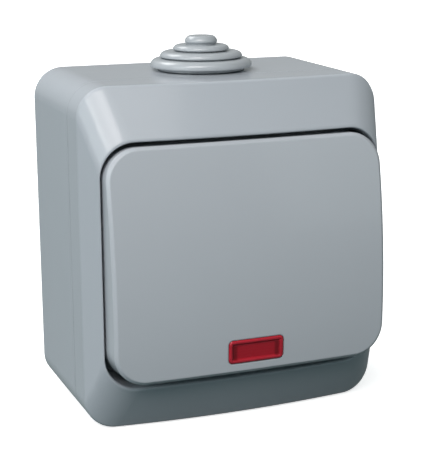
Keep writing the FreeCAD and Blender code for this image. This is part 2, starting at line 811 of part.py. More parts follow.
saddle_front = d.blade_depth - d.blade_thickness / 2 - d.blade_clearance
common = terminal("common_terminal", terminal_places[0], d.blade_half_width)
common.add(strip_front - INTO, saddle_front, Plate(2 * d.blade_half_width, d.saddle_height))
terminal("upper_terminal", terminal_places[1], d.blade_half_width)
terminal("lower_terminal", terminal_places[2], d.blade_half_width)
contact_places = [(0.0, d.contact_z), (0.0, -d.contact_z)]
Piece("fixed_contacts").add(
    strip_front, strip_front + d.fixed_contact_height,
    *plates(d.contact_size, d.contact_size, contact_places))


# Screws, each group in one node
def screws(label, places, head_back, head_radius, length):
    """A group of slotted screws, heads to the front."""
    head_front = head_back + d.screw_head_height
    slots = plates(d.screw_slot, 2 * (head_radius + PAST), places)
    group = Piece(label)
    group.add(head_back - length, head_back + INTO, *discs(d.screw_radius, places))
    group.add(head_back, head_front, *discs(head_radius, places))
    group.cut(head_front - d.screw_slot, head_front + PAST, *slots)


seal_front = d.floor_depth + d.seal_thickness
set_screw_front = d.terminal_front_depth + d.screw_slot
set_screws = Piece("terminal_screws")
set_screws.add(d.wire_depth + d.wire_way / 2, set_screw_front, *discs(d.screw_radius, terminal_places))
set_screws.cut(d.terminal_front_depth, set_screw_front + PAST,
               *plates(d.screw_slot, 2 * (d.screw_radius + PAST), terminal_places))
screws("frame_screws", frame_screw_places, ear_front, d.frame_head_radius, d.screw_bite)
screws("cover_screws", cover_screw_places, seal_front, d.cover_head_radius, d.screw_bite)
Piece("cover_screw_seals").add(
    d.floor_depth, seal_front, *discs(d.seal_radius, cover_screw_places),
    *discs(d.cover_hole_radius, cover_screw_places))

# Indicator lamp under the lens
socket_front = frame_front + d.socket_depth
lamp_back = frame_front + d.socket_floor
socket = Piece("lamp_socket")
socket.add(frame_front, socket_front, Plate(d.socket_width, d.socket_height, 0.0, 0.0, d.lamp_z))
socket.cut(lamp_back, socket_front + PAST, Disc(d.lamp_radius + d.lamp_play, 0.0, d.lamp_z))
socket.cut(frame_front - PAST, lamp_back + PAST, *plates(lead_hole, lead_hole, lead_places))
lamp = Piece("neon_lamp")
lamp.add(lamp_back, d.lamp_front_depth, Disc(d.lamp_radius, 0.0, d.lamp_z))
lamp.bevel_edges(d.lamp_nose, lambda point, edge: abs(point.y + d.lamp_front_depth.value) < SAME)
Piece("lamp_leads").add(d.lead_back_depth, lamp_back, *plates(d.lead_size, d.lead_size, lead_places))

# Rocker: a crowned shell with ribs and clip hooks, open behind
rest = Placement(Vector(0, 0, 0), Rotation(Vector(1, 0, 0), -d.rest_tilt.value),
                 Vector(0, -d.pivot_depth.value, 0))
crown_block_front = d.rocker_crown_depth + CROWN_ROOM / 2
crown_high = d.rocker_height / 2 + PAST
crown_width = d.rocker_width + 2 * PAST
rocker_crown = (d.rocker_crown_depth, d.rocker_crown_radius, d.rocker_sweep_radius)
skirt_front = d.pivot_depth.value + d.rocker_wall.value


def raised(crown, height):
    """A crown parallel to another one, in front of it or behind it."""
    return [size + height for size in crown]


def inset_from_side(point):
    """How far a point lies inside the rocker's outline, seen from the front."""
    flat_x = (d.rocker_width / 2 - d.rocker_corner).value
    flat_z = (d.rocker_height / 2 - d.rocker_corner).value
    over_x = max(abs(point.x) - flat_x, 0.0)
    over_z = max(abs(point.z) - flat_z, 0.0)
    return d.rocker_corner.value - math.hypot(over_x, over_z)


def lies_flat(edge):
    """True for an edge whose ends differ in depth by less than the rocker's wall."""
    return abs(edge.Vertexes[0].Y - edge.Vertexes[-1].Y) < d.rocker_wall.value


def on_front_edge(point, edge):
    """True for the outer edge between the rocker's face and its skirt."""
    return inset_from_side(point) < ON_FACE and lies_flat(edge) and -point.y > skirt_front


rocker_plate = Plate(d.rocker_width, d.rocker_height, d.rocker_corner)
hollow = rocker_plate.grown(-d.rocker_wall)
hollow_crown_radius = d.rocker_crown_radius - d.rocker_wall
fall_to_side = hollow.width * hollow.width / (8 * d.rocker_sweep_radius)
fall_to_end = hollow.height * hollow.height / (8 * hollow_crown_radius)
hollow_crown_depth = d.rocker_crown_depth - d.rocker_wall - fall_to_side
hollow_back = d.pivot_depth - PAST

rocker = Piece("rocker")
rocker.add(d.pivot_depth, crown_block_front, rocker_plate)
rocker.crown(rocker_crown, -crown_high, crown_high, crown_width)
rocker.cut(hollow_back, hollow_crown_depth - fall_to_end, hollow)
rocker.hollow_behind_crown(hollow_back, hollow_crown_depth, hollow_crown_radius,
                           hollow.height / 2 - hollow.corner, hollow.width)
rocker.hollow_behind_crown(hollow_back, hollow_crown_depth, hollow_crown_radius,
                           hollow.height / 2, hollow.width - 2 * hollow.corner)
rocker.bevel_edges(d.rocker_edge_bevel, on_front_edge)
lens_plate = Plate(d.lens_width, d.lens_height, d.lens_corner, 0.0, d.lens_z)
lens_back = d.rocker_crown_depth - d.lens_body
rocker.cut(lens_back - PAST, crown_block_front, lens_plate.grown(d.lens_play))
clip_front = d.clip_depth + d.clip_thickness
rib_front = d.rocker_crown_depth - d.rocker_wall + d.clip_play
hook_back = d.clip_depth - d.clip_play - d.hook_catch
catch_z = d.hook_z - d.hook_catch
rocker.add(clip_front + d.rib_play, rib_front,
           *plates(d.rib_thickness, d.rib_length, [(d.rib_x, 0.0), (-d.rib_x, 0.0)]))
rocker.add(hook_back, rib_front,
           *plates(d.hook_width, d.hook_thickness, [(0.0, d.hook_z), (0.0, -d.hook_z)]))
rocker.add(hook_back, hook_back + d.hook_catch,
           *plates(d.hook_width, d.hook_thickness, [(0.0, catch_z), (0.0, -catch_z)]))

# Indicator lens, set into the rocker's face, with a raised rim round a shallow tub
lens_crown = raised(rocker_crown, d.lens_proud)
tub_height = d.lens_height - 2 * d.lens_rim
tub_width = d.lens_width - 2 * d.lens_rim
lens_flange = Plate(d.lens_width + 2 * d.lens_flange_reach, d.lens_height + d.lens_flange_reach / 2,
                    0.0, 0.0, d.lens_z)


def on_lens_front(point, edge):
    """True for the edges of the lens where its sides and its tub meet the front face."""
    depth, radius, sweep = [size.value for size in lens_crown]
    fall = radius - math.sqrt(radius ** 2 - point.z ** 2) + point.x ** 2 / (2 * sweep)
    return abs(depth - fall + point.y) < ON_FACE and lies_flat(edge)


lens = Piece("indicator_lens")
lens.add(lens_back, crown_block_front, lens_plate)
lens.crown(lens_crown, -crown_high, crown_high, crown_width)
lens.crown(raised(lens_crown, -d.lens_tub_depth),
           d.lens_z - tub_height / 2, d.lens_z + tub_height / 2, tub_width)
lens.bevel_edges(d.lens_bevel, on_lens_front)
lens.add(lens_back, lens_back + d.lens_flange, lens_flange)
lens.cut(lens_back - PAST, d.rocker_crown_depth - d.lens_hollow_depth,
         Plate(tub_width, tub_height, 0.0, 0.0, d.lens_z))

# Yoke: cross bar with trunnions, clip plate and the plunger's barrel
yoke_width = 2 * (d.cheek_inner_x - d.yoke_play)
yoke_back = d.pivot_depth - d.yoke_back
bore = d.plunger_radius + d.plunger_play
spring_front = d.pivot_depth + d.spring_clearance
yoke = Piece("rocker_yoke")
yoke.add_across(2 * (d.cheek_inner_x + d.cheek_thickness), Disc(d.pivot_radius, -d.pivot_depth, 0.0))
yoke.add(yoke_back, d.clip_depth + INTO, Plate(yoke_width, 2 * d.yoke_half_height))
yoke.add(d.clip_depth, clip_front, Plate(yoke_width, d.clip_height))
yoke.add(d.barrel_back_depth, d.pivot_depth, Plate(d.barrel_width, d.barrel_width))
yoke.cut(d.barrel_back_depth - PAST, spring_front, Disc(bore))

# Plunger with a tapered nose, pressed toward the blade by its spring
plunger_back = d.pivot_depth - d.plunger_reach
plunger_front = plunger_back + d.plunger_length
plunger = Piece("plunger")
plunger.turn([
    (-plunger_back, 0.0), (-plunger_back, d.plunger_tip),
    (-(plunger_back + d.plunger_nose), d.plunger_radius), (-plunger_front, d.plunger_radius),
    (-plunger_front, 0.0)], axis="H_Axis")


def coil(turns, steps, radius, length, wire):
    """A coil of six-sided wire, lofted through one section at each step of its turns."""
    sections = []
    for step in range(turns * steps + 1):
        angle = 2 * math.pi * step / steps
        outward = Vector(math.cos(angle), math.sin(angle), 0)
        centre = outward * radius + Vector(0, 0, length * step / (turns * steps))
        corners = [math.pi / 3 * corner for corner in range(7)]
        ring = [centre + outward * (wire / 2 * math.cos(a)) + Vector(0, 0, wire / 2 * math.sin(a))
                for a in corners]
        sections.append(Part.makePolygon(ring))
    return Part.makeLoft(sections, True, True)


spring = doc.addObject("Part::Feature", "plunger_spring")
wire = d.spring_wire.value
coil_back = plunger_front.value + wire / 2 + d.spring_play.value
coil_length = spring_front.value - wire / 2 - d.spring_play.value - coil_back
coil_radius = bore.value - wire / 2 - d.plunger_play.value
turns, steps = int(d.spring_turns.value), int(d.spring_steps.value)
spring.Shape = coil(turns, steps, coil_radius, coil_length, wire)
upright = Placement(Vector(0, -coil_back, 0), Rotation(Vector(1, 0, 0), 90))
spring.Placement = rest.multiply(upright)
for moving in (rocker, lens, yoke, plunger):
    moving.body.Placement = rest

# Moving contact blade, tipped at both ends, rocking on the common terminal's saddle
swung = Placement(Vector(0, 0, 0), Rotation(Vector(1, 0, 0), d.blade_swing.value),
                  Vector(0, -d.blade_depth.value, 0))
blade_back = d.blade_depth - d.blade_thickness / 2
blade = Piece("contact_blade")
blade.add(blade_back, blade_back + d.blade_thickness,
          Plate(2 * d.blade_half_width, 2 * d.blade_half_length))
tips = Piece("blade_contacts")
tips.add(blade_back - d.tip_height, blade_back, *plates(d.contact_size, d.contact_size, contact_places))
for swinging in (blade, tips):
    swinging.body.Placement = swung

doc.recompute()

for item in doc.Objects:
    if "Invalid" in item.State or "Error" in item.State:
        raise RuntimeError(f"{item.Name} did not rebuild: {item.State}")
os.makedirs("parts", exist_ok=True)
finished = [item for item in doc.Objects if item.TypeId == "PartDesign::Body"] + [spring]
for item in finished:
    if item.Shape.isNull() or not item.Shape.isValid() or item.Shape.Volume <= 0:
        raise RuntimeError(f"{item.Label} has no valid solid")
    item.Shape.exportStep(f"parts/{item.Label}.step")
    print(item.Label, len(item.Shape.Solids), round(item.Shape.Volume, 1))
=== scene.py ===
"""Looks of an outdoor weatherproof rocker switch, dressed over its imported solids."""
import json
import logging
import math
from abc import ABC, abstractmethod
from dataclasses import dataclass, field
from enum import Enum

import bmesh
import bpy
from mathutils import Matrix, Vector


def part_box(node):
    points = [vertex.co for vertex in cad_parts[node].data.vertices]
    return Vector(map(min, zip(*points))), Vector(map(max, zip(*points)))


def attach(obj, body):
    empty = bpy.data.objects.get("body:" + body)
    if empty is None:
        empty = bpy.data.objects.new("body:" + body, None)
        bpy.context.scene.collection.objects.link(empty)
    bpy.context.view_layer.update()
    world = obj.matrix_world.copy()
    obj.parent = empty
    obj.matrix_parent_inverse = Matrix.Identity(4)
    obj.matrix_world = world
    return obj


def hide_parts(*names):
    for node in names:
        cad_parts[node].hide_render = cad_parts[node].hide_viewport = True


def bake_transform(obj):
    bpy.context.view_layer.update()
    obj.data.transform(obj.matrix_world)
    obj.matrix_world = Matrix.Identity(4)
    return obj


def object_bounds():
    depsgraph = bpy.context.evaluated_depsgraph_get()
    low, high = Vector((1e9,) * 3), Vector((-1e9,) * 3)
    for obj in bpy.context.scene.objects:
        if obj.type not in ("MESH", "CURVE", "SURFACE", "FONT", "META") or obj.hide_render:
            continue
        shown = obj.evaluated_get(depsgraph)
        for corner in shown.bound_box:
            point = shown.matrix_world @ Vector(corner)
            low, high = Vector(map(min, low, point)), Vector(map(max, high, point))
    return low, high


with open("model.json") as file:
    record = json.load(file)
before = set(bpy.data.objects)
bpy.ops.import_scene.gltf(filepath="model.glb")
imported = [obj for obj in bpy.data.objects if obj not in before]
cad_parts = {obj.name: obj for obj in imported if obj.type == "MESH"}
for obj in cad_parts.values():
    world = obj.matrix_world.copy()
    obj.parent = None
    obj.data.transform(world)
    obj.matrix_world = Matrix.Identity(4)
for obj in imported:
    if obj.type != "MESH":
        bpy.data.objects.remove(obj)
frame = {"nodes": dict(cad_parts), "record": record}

CAD_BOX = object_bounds()
LOG = logging.getLogger("switch_looks")

Colour = tuple[float, float, float]
Place = tuple[float, float, float]
Feed = float | tuple[float, ...] | bpy.types.NodeSocket

WHITE: Colour = (1.0, 1.0, 1.0)
FULL_TURN = 2 * math.pi

# The value that noise varies about, the grain's height in metres and the rays that round an edge
NOISE_MIDDLE = 0.5
GRAIN_DEPTH = 0.0002
EDGE_SAMPLES = 6

# How the grain of drawn metal is stretched, and how much its patches roughen it
DRAWN_STRETCH = (1.0, 0.08, 1.0)
TARNISH_ROUGHNESS = 0.25

# The colour sockets of a Mix node, and the outputs of a grain group
MIX_FIRST, MIX_SECOND, MIX_RESULT = 6, 7, 2
GRAIN_OUTPUTS = {
    "Colour": "NodeSocketColor",
    "Roughness": "NodeSocketFloat",
    "Height": "NodeSocketFloat",
}


class Finish(Enum):
    """The named finishes of the switch."""

    GREY_GLOSS = "grey_gloss"
    # Painted light: the rocker's gloss is a lighter copy of the housing's grey, for the light its face
    # catches.
    ROCKER_LIT_GLOSS = "rocker_lit_gloss"
    GREY_RUBBER = "grey_rubber"
    BLACK_RUBBER = "black_rubber"
    WHITE_INSULATOR = "white_insulator"
    DARK_INSULATOR = "dark_insulator"
    BRASS = "brass"
    CONTACT_SILVER = "contact_silver"
    PLATED_STEEL = "plated_steel"
    SPRING_STEEL = "spring_steel"
    LAMP_GLASS = "lamp_glass"
    RED_LENS = "red_lens"


class GroupName(Enum):
    """The shader node groups that several finishes share."""

    MOULD_GRAIN = "mould_grain"
    BRUSHED_GRAIN = "brushed_grain"


def feed(tree: bpy.types.NodeTree, socket: bpy.types.NodeSocket, value: Feed) -> None:
    """Lead another node into an input, or set the input's plain value.

    Args:
        tree: The node tree that holds the input.
        socket: The input.
        value: The output that leads into it, or a number, a vector or a colour.
    """
    if isinstance(value, bpy.types.NodeSocket):
        tree.links.new(value, socket)
    else:
        socket.default_value = (*value, 1.0) if socket.type == "RGBA" else value


def add_node(tree: bpy.types.NodeTree, kind: str, *feeds: Feed, **settings: object) -> bpy.types.Node:
    """Add a node, set its properties and feed its inputs.

    Args:
        tree: The node tree that takes the node.
        kind: The node's type name.
        feeds: What goes into the inputs, in their order.
        settings: Property names, or input names with spaces written as underscores.

    Returns:
        The new node.
    """
    node = tree.nodes.new(kind)
    for name, value in settings.items():
        if hasattr(node, name):
            setattr(node, name, value)
        else:
            feed(tree, node.inputs[name.replace("_", " ")], value)
    for socket, value in zip(node.inputs, feeds):
        feed(tree, socket, value)
    return node


def add_math(tree: bpy.types.NodeTree, operation: str, *feeds: Feed) -> bpy.types.NodeSocket:
    """Add a math node and give its result."""
    return add_node(tree, "ShaderNodeMath", *feeds, operation=operation).outputs[0]


def add_vector_math(tree: bpy.types.NodeTree, operation: str, *feeds: Feed) -> bpy.types.NodeSocket:
    """Add a vector math node and give its vector."""
    return add_node(tree, "ShaderNodeVectorMath", *feeds, operation=operation).outputs[0]


def add_mix(tree: bpy.types.NodeTree, share: Feed, first: Feed, second: Feed) -> bpy.types.NodeSocket:
    """Mix two colours.

    Args:
        tree: The node tree that takes the mix.
        share: How much of the second colour shows.
        first: The first colour.
        second: The second colour.

    Returns:
        The mixed colour.
    """
    mix = add_node(tree, "ShaderNodeMix", data_type="RGBA", Factor=share)
    feed(tree, mix.inputs[MIX_FIRST], first)
    feed(tree, mix.inputs[MIX_SECOND], second)
    return mix.outputs[MIX_RESULT]


def new_group(name: GroupName, inputs: dict[str, float | Colour]) -> bpy.types.NodeTree:
    """Make a shader node group for a grain, which puts out a colour, a roughness and a height.

    Args:
        name: The group's name.
        inputs: Input names with their defaults; a colour makes a colour socket.

    Returns:
        The group's tree, with its input node added.
    """
    tree = bpy.data.node_groups.new(name.value, "ShaderNodeTree")
    for socket_name, default in inputs.items():
        is_colour = isinstance(default, tuple)
        kind = "NodeSocketColor" if is_colour else "NodeSocketFloat"
        socket = tree.interface.new_socket(name=socket_name, in_out="INPUT", socket_type=kind)
        socket.default_value = (*default, 1.0) if is_colour else default
    for socket_name, kind in GRAIN_OUTPUTS.items():
        tree.interface.new_socket(name=socket_name, in_out="OUTPUT", socket_type=kind)
    tree.nodes.new("NodeGroupInput")
    return tree


def build_mould_grain() -> None:
    """Build the fine grain of moulded plastic, rubber and glass."""
    tree = new_group(GroupName.MOULD_GRAIN, {
        "Colour": (0.5, 0.5, 0.5),
        "Roughness": 0.3,
        "Mottle": 0.04,
        "Roughness Spread": 0.05,
        "Grain Scale": 1800.0,
    })
    source = tree.nodes["Group Input"].outputs
    place = add_node(tree, "ShaderNodeTexCoord").outputs["Object"]
    broad = add_node(tree, "ShaderNodeTexNoise", Vector=place, Scale=55.0, Detail=3.0, Roughness=0.55)
    fine = add_node(tree, "ShaderNodeTexNoise", Vector=place, Scale=source["Grain Scale"],
                    Detail=2.0, Roughness=0.6)
    centred = add_math(tree, "SUBTRACT", broad.outputs["Fac"], NOISE_MIDDLE)
    lightness = add_math(tree, "MULTIPLY_ADD", centred, source["Mottle"], 1.0)
    tint = add_node(tree, "ShaderNodeVectorMath", operation="SCALE", Vector=source["Colour"],
                    Scale=lightness)
    polish = add_math(tree, "MULTIPLY_ADD", centred, source["Roughness Spread"], source["Roughness"])
    add_node(tree, "NodeGroupOutput", Colour=tint.outputs[0], Roughness=polish, Height=fine.outputs["Fac"])


def build_brushed_grain() -> None:
    """Build the drawn grain and tarnish of small metal pieces."""
    tree = new_group(GroupName.BRUSHED_GRAIN, {
        "Colour": (0.6, 0.6, 0.6),
        "Tarnish": (0.3, 0.25, 0.2),
        "Tarnish Amount": 0.35,
        "Roughness": 0.3,
        "Grain Scale": 900.0,
    })
    source = tree.nodes["Group Input"].outputs
    place = add_node(tree, "ShaderNodeTexCoord").outputs["Object"]
    stretch = add_node(tree, "ShaderNodeMapping", Vector=place, Scale=DRAWN_STRETCH)
    drawn = add_node(tree, "ShaderNodeTexNoise", Vector=stretch.outputs[0], Scale=source["Grain Scale"],
                     Detail=3.0)
    patchy = add_node(tree, "ShaderNodeTexNoise", Vector=place, Scale=260.0, Detail=4.0).outputs["Fac"]
    amount = add_math(tree, "MULTIPLY", patchy, source["Tarnish Amount"])
    colour = add_mix(tree, amount, source["Colour"], source["Tarnish"])
    polish = add_math(tree, "MULTIPLY_ADD", patchy, TARNISH_ROUGHNESS, source["Roughness"])
    add_node(tree, "NodeGroupOutput", Colour=colour, Roughness=polish, Height=drawn.outputs["Fac"])


def place_group(tree: bpy.types.NodeTree, group: GroupName, **values: float | Colour) -> bpy.types.Node:
    """Place a shared group in a material and set its inputs, with spaces in their names as underscores."""
    return add_node(tree, "ShaderNodeGroup", node_tree=bpy.data.node_groups[group.value], **values)


@dataclass(frozen=True)
class Coating(ABC):
    """What every finish holds: its name, colour, roughness, grain relief and edge rounding in metres."""

    name: Finish
    colour: Colour
    roughness: float
    relief: float = 0.02
    edge_radius: float = 0.0

    @abstractmethod
    def grain(self, tree: bpy.types.NodeTree) -> bpy.types.Node:
        """Place the finish's grain group."""

    @abstractmethod
    def constants(self) -> dict[str, float]:
        """Give the shader's values that are the same all over."""

    def tint(self, tree: bpy.types.NodeTree, grain: bpy.types.Node) -> bpy.types.NodeSocket:
        """Give the colour that the shader takes, which is the grain's own."""
        return grain.outputs["Colour"]

    def build(self) -> bpy.types.Material:
        """Make the material.

        Returns:
            The material, with a Principled shader that the grain feeds.
        """
        material = bpy.data.materials.new(f"{self.name.value}_look")
        material.use_nodes = True
        tree = material.node_tree
        shader = tree.nodes["Principled BSDF"].inputs
        for socket_name, value in self.constants().items():
            shader[socket_name].default_value = value
        grain = self.grain(tree)
        bump = add_node(tree, "ShaderNodeBump", Strength=self.relief, Distance=GRAIN_DEPTH,
                        Height=grain.outputs["Height"])
        if self.edge_radius:
            edge = add_node(tree, "ShaderNodeBevel", samples=EDGE_SAMPLES, Radius=self.edge_radius)
            feed(tree, bump.inputs["Normal"], edge.outputs["Normal"])
        feed(tree, shader["Base Color"], self.tint(tree, grain))
        feed(tree, shader["Roughness"], grain.outputs["Roughness"])
        feed(tree, shader["Normal"], bump.outputs["Normal"])
        return material


@dataclass(frozen=True)
class Moulded(Coating):
    """What moulded plastic, rubber and glass share: a mottled colour, a varied polish and a fine grain."""

    mottle: float = 0.03
    spread: float = 0.05
    grain_scale: float = 1800.0
    specular: float = 0.5

    def grain(self, tree: bpy.types.NodeTree) -> bpy.types.Node:
        """Place the moulded grain."""
        return place_group(tree, GroupName.MOULD_GRAIN, Colour=self.colour, Roughness=self.roughness,
                           Mottle=self.mottle, Roughness_Spread=self.spread, Grain_Scale=self.grain_scale)


@dataclass(frozen=True)
class Moulding(Moulded):
    """Moulded plastic or rubber."""

    coat: float = 0.0
    coat_roughness: float = 0.05

    def constants(self) -> dict[str, float]:
        """Give the gloss of the skin that the mould leaves."""
        return {"Specular IOR Level": self.specular, "Coat Weight": self.coat,
                "Coat Roughness": self.coat_roughness}


@dataclass(frozen=True)
class ClearStuff(Moulded):
    """Glass or tinted see-through plastic."""

    mottle: float = 0.05
    spread: float = 0.04
    grain_scale: float = 900.0
    transmission: float = 1.0
    ior: float = 1.5

    def constants(self) -> dict[str, float]:
        """Give how clear the stuff is and how it bends light."""
        return {"Transmission Weight": self.transmission, "IOR": self.ior,
                "Specular IOR Level": self.specular}


@dataclass(frozen=True)
class TintedLens(ClearStuff):
    """A tinted window with a paler rim, a darker ribbed panel in painted shade of the dark hollow behind
    it, and the hollow's ends in deeper painted shade.

    The panel's centre and half size are in metres. The ends start at a share of its half width, and soft
    is the share over which an edge fades. The ribs' scale is the wave texture's own.
    """

    # Painted shade: the panel and its darker ends are coloured as the dark hollow seen through the thin
    # window.
    shaded_panel: Colour = (0.41, 0.011, 0.024)
    ends: Colour = (0.21, 0.005, 0.011)
    centre: Place = (0.0, 0.0, -0.0201)
    panel_half: Place = (0.0057, 1.0, 0.00165)
    ends_from: float = 0.80
    soft: float = 0.06
    rib_scale: float = 433.3333
    rib_depth: float = 0.10

    def tint(self, tree: bpy.types.NodeTree, grain: bpy.types.Node) -> bpy.types.NodeSocket:
        """Set the panel and its ends, both painted shade of the hollow behind, into the rim's colour.

        Args:
            tree: The material's tree.
            grain: The placed grain, which gives the rim's colour.

        Returns:
            The colour that the shader takes.
        """
        place = add_node(tree, "ShaderNodeTexCoord").outputs["Object"]
        offset = add_vector_math(tree, "SUBTRACT", place, self.centre)
        share = add_vector_math(tree, "DIVIDE", offset, self.panel_half)
        apart = add_vector_math(tree, "ABSOLUTE", share)
        apart_along = add_node(tree, "ShaderNodeSeparateXYZ", apart).outputs
        inside = add_math(tree, "MAXIMUM", apart_along["X"], apart_along["Z"])
        ribs = add_node(tree, "ShaderNodeTexWave", bands_direction="Z", Vector=place, Scale=self.rib_scale)
        # Painted shade of the hollow behind: the panel darkens into its ends beyond a share of its half
        # width.
        middle_mask = self.step_down(tree, apart_along["X"], self.ends_from)
        ribbed = add_math(tree, "MULTIPLY_ADD", ribs.outputs["Fac"], -self.rib_depth, middle_mask)
        shaded_panel = add_mix(tree, ribbed, self.ends, self.shaded_panel)
        return add_mix(tree, self.step_down(tree, inside, 1.0), grain.outputs["Colour"], shaded_panel)

    def step_down(self, tree: bpy.types.NodeTree, value: bpy.types.NodeSocket,
                  edge: float) -> bpy.types.NodeSocket:
        """Make a mask that is one below an edge and softly none above it.

        Args:
            tree: The material's tree.
            value: The value to test.
            edge: Where the mask falls.

        Returns:
            The mask's socket.
        """
        fall = add_node(tree, "ShaderNodeMapRange", interpolation_type="SMOOTHSTEP", Value=value,
                        From_Min=edge - self.soft, From_Max=edge + self.soft, To_Min=1.0, To_Max=0.0)
        return fall.outputs["Result"]


@dataclass(frozen=True)
class Metal(Coating):
    """Bare or plated metal."""

    tarnish: Colour = (0.3, 0.25, 0.2)
    tarnish_amount: float = 0.3

    def grain(self, tree: bpy.types.NodeTree) -> bpy.types.Node:
        """Place the drawn grain."""
        return place_group(tree, GroupName.BRUSHED_GRAIN, Colour=self.colour, Roughness=self.roughness,
                           Tarnish=self.tarnish, Tarnish_Amount=self.tarnish_amount)

    def constants(self) -> dict[str, float]:
        """Give the value that makes the shader a metal."""
        return {"Metallic": 1.0}


FINISHES: tuple[Coating, ...] = (
    Moulding(Finish.GREY_GLOSS, (0.430, 0.456, 0.494), 0.17,
             relief=0.02, edge_radius=0.0005, specular=0.3, coat=0.12),
    # Painted light: a lighter copy of the grey gloss above, so that the rocker's face looks more brightly
    # lit.
    Moulding(Finish.ROCKER_LIT_GLOSS, (0.464, 0.486, 0.522), 0.18,
             relief=0.02, edge_radius=0.0005, specular=0.35, coat=0.1),
    Moulding(Finish.GREY_RUBBER, (0.392, 0.414, 0.437), 0.23,
             relief=0.03, edge_radius=0.0001, mottle=0.05, specular=0.5, coat=0.12),
    Moulding(Finish.BLACK_RUBBER, (0.02, 0.02, 0.021), 0.6, relief=0.10, mottle=0.2),
    Moulding(Finish.WHITE_INSULATOR, (0.66, 0.65, 0.6), 0.4, relief=0.05),
    Moulding(Finish.DARK_INSULATOR, (0.045, 0.046, 0.05), 0.45, relief=0.06, mottle=0.1),
    Metal(Finish.BRASS, (0.80, 0.58, 0.26), 0.25, tarnish=(0.42, 0.26, 0.10)),
    Metal(Finish.CONTACT_SILVER, (0.86, 0.85, 0.82), 0.2, tarnish=(0.5, 0.48, 0.44)),
    Metal(Finish.PLATED_STEEL, (0.62, 0.63, 0.65), 0.28, tarnish=(0.4, 0.4, 0.38)),
    Metal(Finish.SPRING_STEEL, (0.45, 0.45, 0.47), 0.3, tarnish=(0.25, 0.24, 0.23)),
    ClearStuff(Finish.LAMP_GLASS, (0.95, 0.90, 0.86), 0.03),
    TintedLens(Finish.RED_LENS, (0.47, 0.017, 0.034), 0.14,
               edge_radius=0.0003, transmission=0.1, specular=0.25),
)


def make_piece(name: str, shape: bmesh.types.BMesh, crease_deg: float) -> bpy.types.Object:
    """Make a smooth piece of a built shape, with its faces turned outward.

    Args:
        name: The piece's name.
        shape: The built shape, which is freed.
        crease_deg: How far an edge turns before it is sharp.

    Returns:
        The piece, in the scene.
    """
    bmesh.ops.recalc_face_normals(shape, faces=shape.faces)
    mesh = bpy.data.meshes.new(name)
    shape.to_mesh(mesh)
    shape.free()
    mesh.shade_smooth()
    mesh.set_sharp_from_angle(angle=math.radians(crease_deg))
    piece = bpy.data.objects.new(name, mesh)
    bpy.context.collection.objects.link(piece)
    return piece


@dataclass
class Assembly:
    """A sub-assembly of CAD nodes, each with its finish."""

    name: str
    finishes: dict[str, Finish]

    def dress(self, library: dict[Finish, bpy.types.Material]) -> None:
        """Give each node its finish.

        Args:
            library: The material of each finish.
        """
        for node_name, finish in self.finishes.items():
            node = frame["nodes"][node_name]
            node.data.materials.clear()
            node.data.materials.append(library[finish])
            LOG.info("%s: %s in %s", self.name, node_name, finish.value)


@dataclass
class Housing(Assembly):
    """Front cover, rear box, gaskets and the screws that hold them."""

    name: str = "housing"
    finishes: dict[str, Finish] = field(default_factory=lambda: {
        "front_cover": Finish.GREY_GLOSS,
        "rear_box": Finish.GREY_GLOSS,
        "seam_gasket": Finish.BLACK_RUBBER,
        "window_gasket": Finish.BLACK_RUBBER,
        "cover_screws": Finish.PLATED_STEEL,
        "cover_screw_seals": Finish.BLACK_RUBBER,
        "frame_screws": Finish.PLATED_STEEL,
    })


@dataclass(frozen=True)
class Tier:
    """One ring of the gland, in metres.

    The ring is widest at its height above the seat, and its top rolls inward from there: at fullness 2
    the roll is a quarter of an ellipse, and less is slacker. A skirt goes straight down, a lip turns
    under by its own radius, and the undercut is how far in the wall below the ring stands.
    """

    radius: float
    height: float
    roll_width: float
    roll_height: float
    undercut: float
    lip: float = 0.00012
    skirt: float = 0.0
    fullness: float = 2.0
    lip_angles_deg: tuple[float, ...] = (-75.0, -50.0, -25.0)

    def outline(self, seat: float, steps: int) -> list[tuple[float, float]]:
        """Trace the ring from under its lip to the top of its roll.

        Args:
            seat: The height that the ring's own height counts from.
            steps: The number of runs in the roll.

        Returns:
            Radii and heights.
        """
        level = seat + self.height
        points = []
        for angle in map(math.radians, self.lip_angles_deg):
            points.append((self.radius - self.lip * (1 - math.cos(angle)),
                           level - self.skirt + self.lip * math.sin(angle)))
        power = 2 / self.fullness
        for step in range(steps + 1):
            angle = math.pi / 2 * step / steps
            inward = 1 - max(math.cos(angle), 0.0) ** power
            points.append((self.radius - self.roll_width * inward,
                           level + self.roll_height * math.sin(angle) ** power))
        return points


